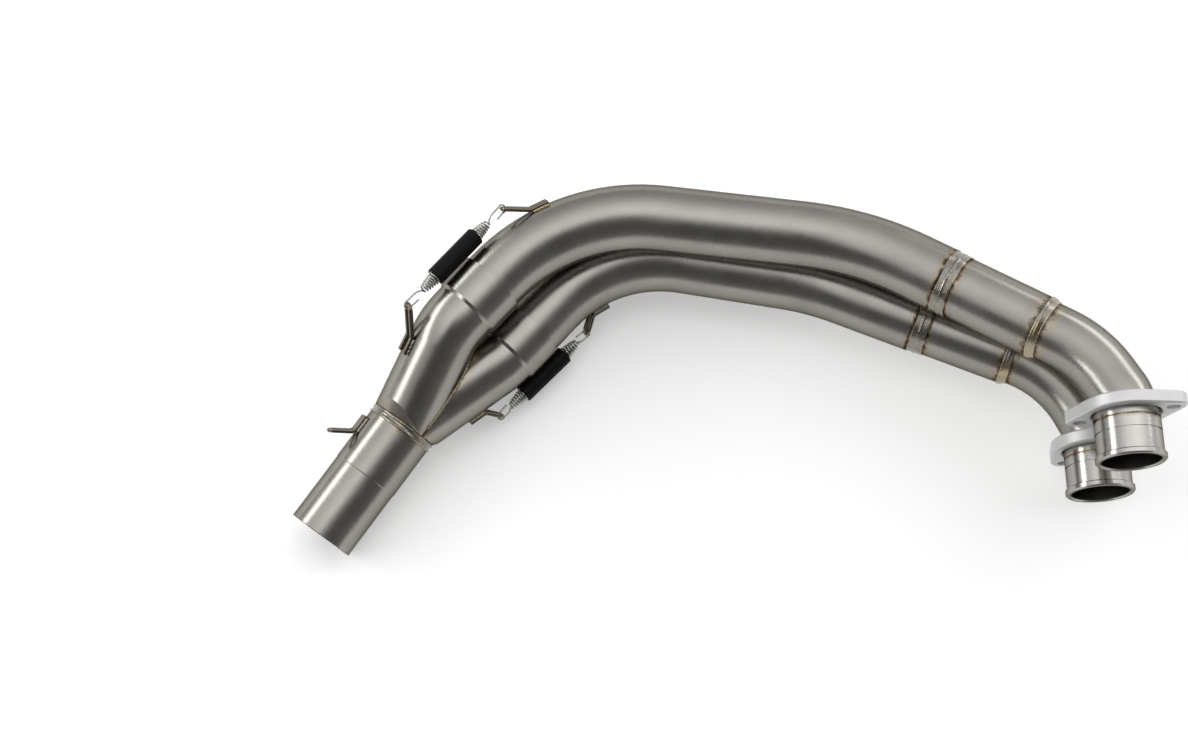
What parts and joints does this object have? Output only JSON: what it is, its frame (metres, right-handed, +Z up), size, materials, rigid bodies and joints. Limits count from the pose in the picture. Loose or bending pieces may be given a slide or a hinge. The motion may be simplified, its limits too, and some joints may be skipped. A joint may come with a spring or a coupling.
{
  "type": "motorcycle exhaust header",
  "caption": "Header with curved head pipes, loose stud flanges, spring-held slip joints, a merge collector and a straight outlet tube.",
  "frame": {"origin": "bottom centre of the part's box, with the port mouths level", "axes": "+X from the outlet towards the ports, along the longest extent; -Y out of the port mouths; +Z up from the floor, with pipe A above pipe B"},
  "size_m": [0.5462, 0.2201, 0.1343],
  "materials": {
    "pipe_steel": "satin",
    "weld_steel": "satin",
    "turned_steel": "polished",
    "satin_aluminium": "satin",
    "hook_steel": "satin",
    "spring_steel": "polished",
    "black_rubber": "matte"
  },
  "bodies": {
    "header": {"port_sleeve_a": "turned_steel", "port_sleeve_b": "turned_steel", "port_bend_a": "pipe_steel", "port_bend_b": "pipe_steel", "step_ring_a": "weld_steel", "step_ring_b": "weld_steel", "mid_tube_a": "pipe_steel", "mid_tube_b": "pipe_steel", "joint_ring_a": "weld_steel", "joint_ring_b": "weld_steel", "head_tube_a": "pipe_steel", "head_tube_b": "pipe_steel", "collector_branch_a": "pipe_steel", "collector_branch_b": "pipe_steel", "collector_ring": "weld_steel", "outlet_tube": "pipe_steel", "spring_hook_a_upper": "hook_steel", "spring_hook_a_lower": "hook_steel", "spring_hook_b_upper": "hook_steel", "spring_hook_b_lower": "hook_steel", "outlet_hook": "hook_steel", "spring_a": "spring_steel", "spring_b": "spring_steel", "spring_sleeve_a": "black_rubber", "spring_sleeve_b": "black_rubber"},
    "flange_a": {"flange_a": "satin_aluminium"},
    "flange_b": {"flange_b": "satin_aluminium"}
  },
  "joints": [
    {"name": "flange_a_slide", "type": "slide", "parent": "header", "child": "flange_a", "axis": [0, -1, 0], "range_m": [0, 0.026]},
    {"name": "flange_b_slide", "type": "slide", "parent": "header", "child": "flange_b", "axis": [0, -1, 0], "range_m": [0, 0.0241]}
  ]
}
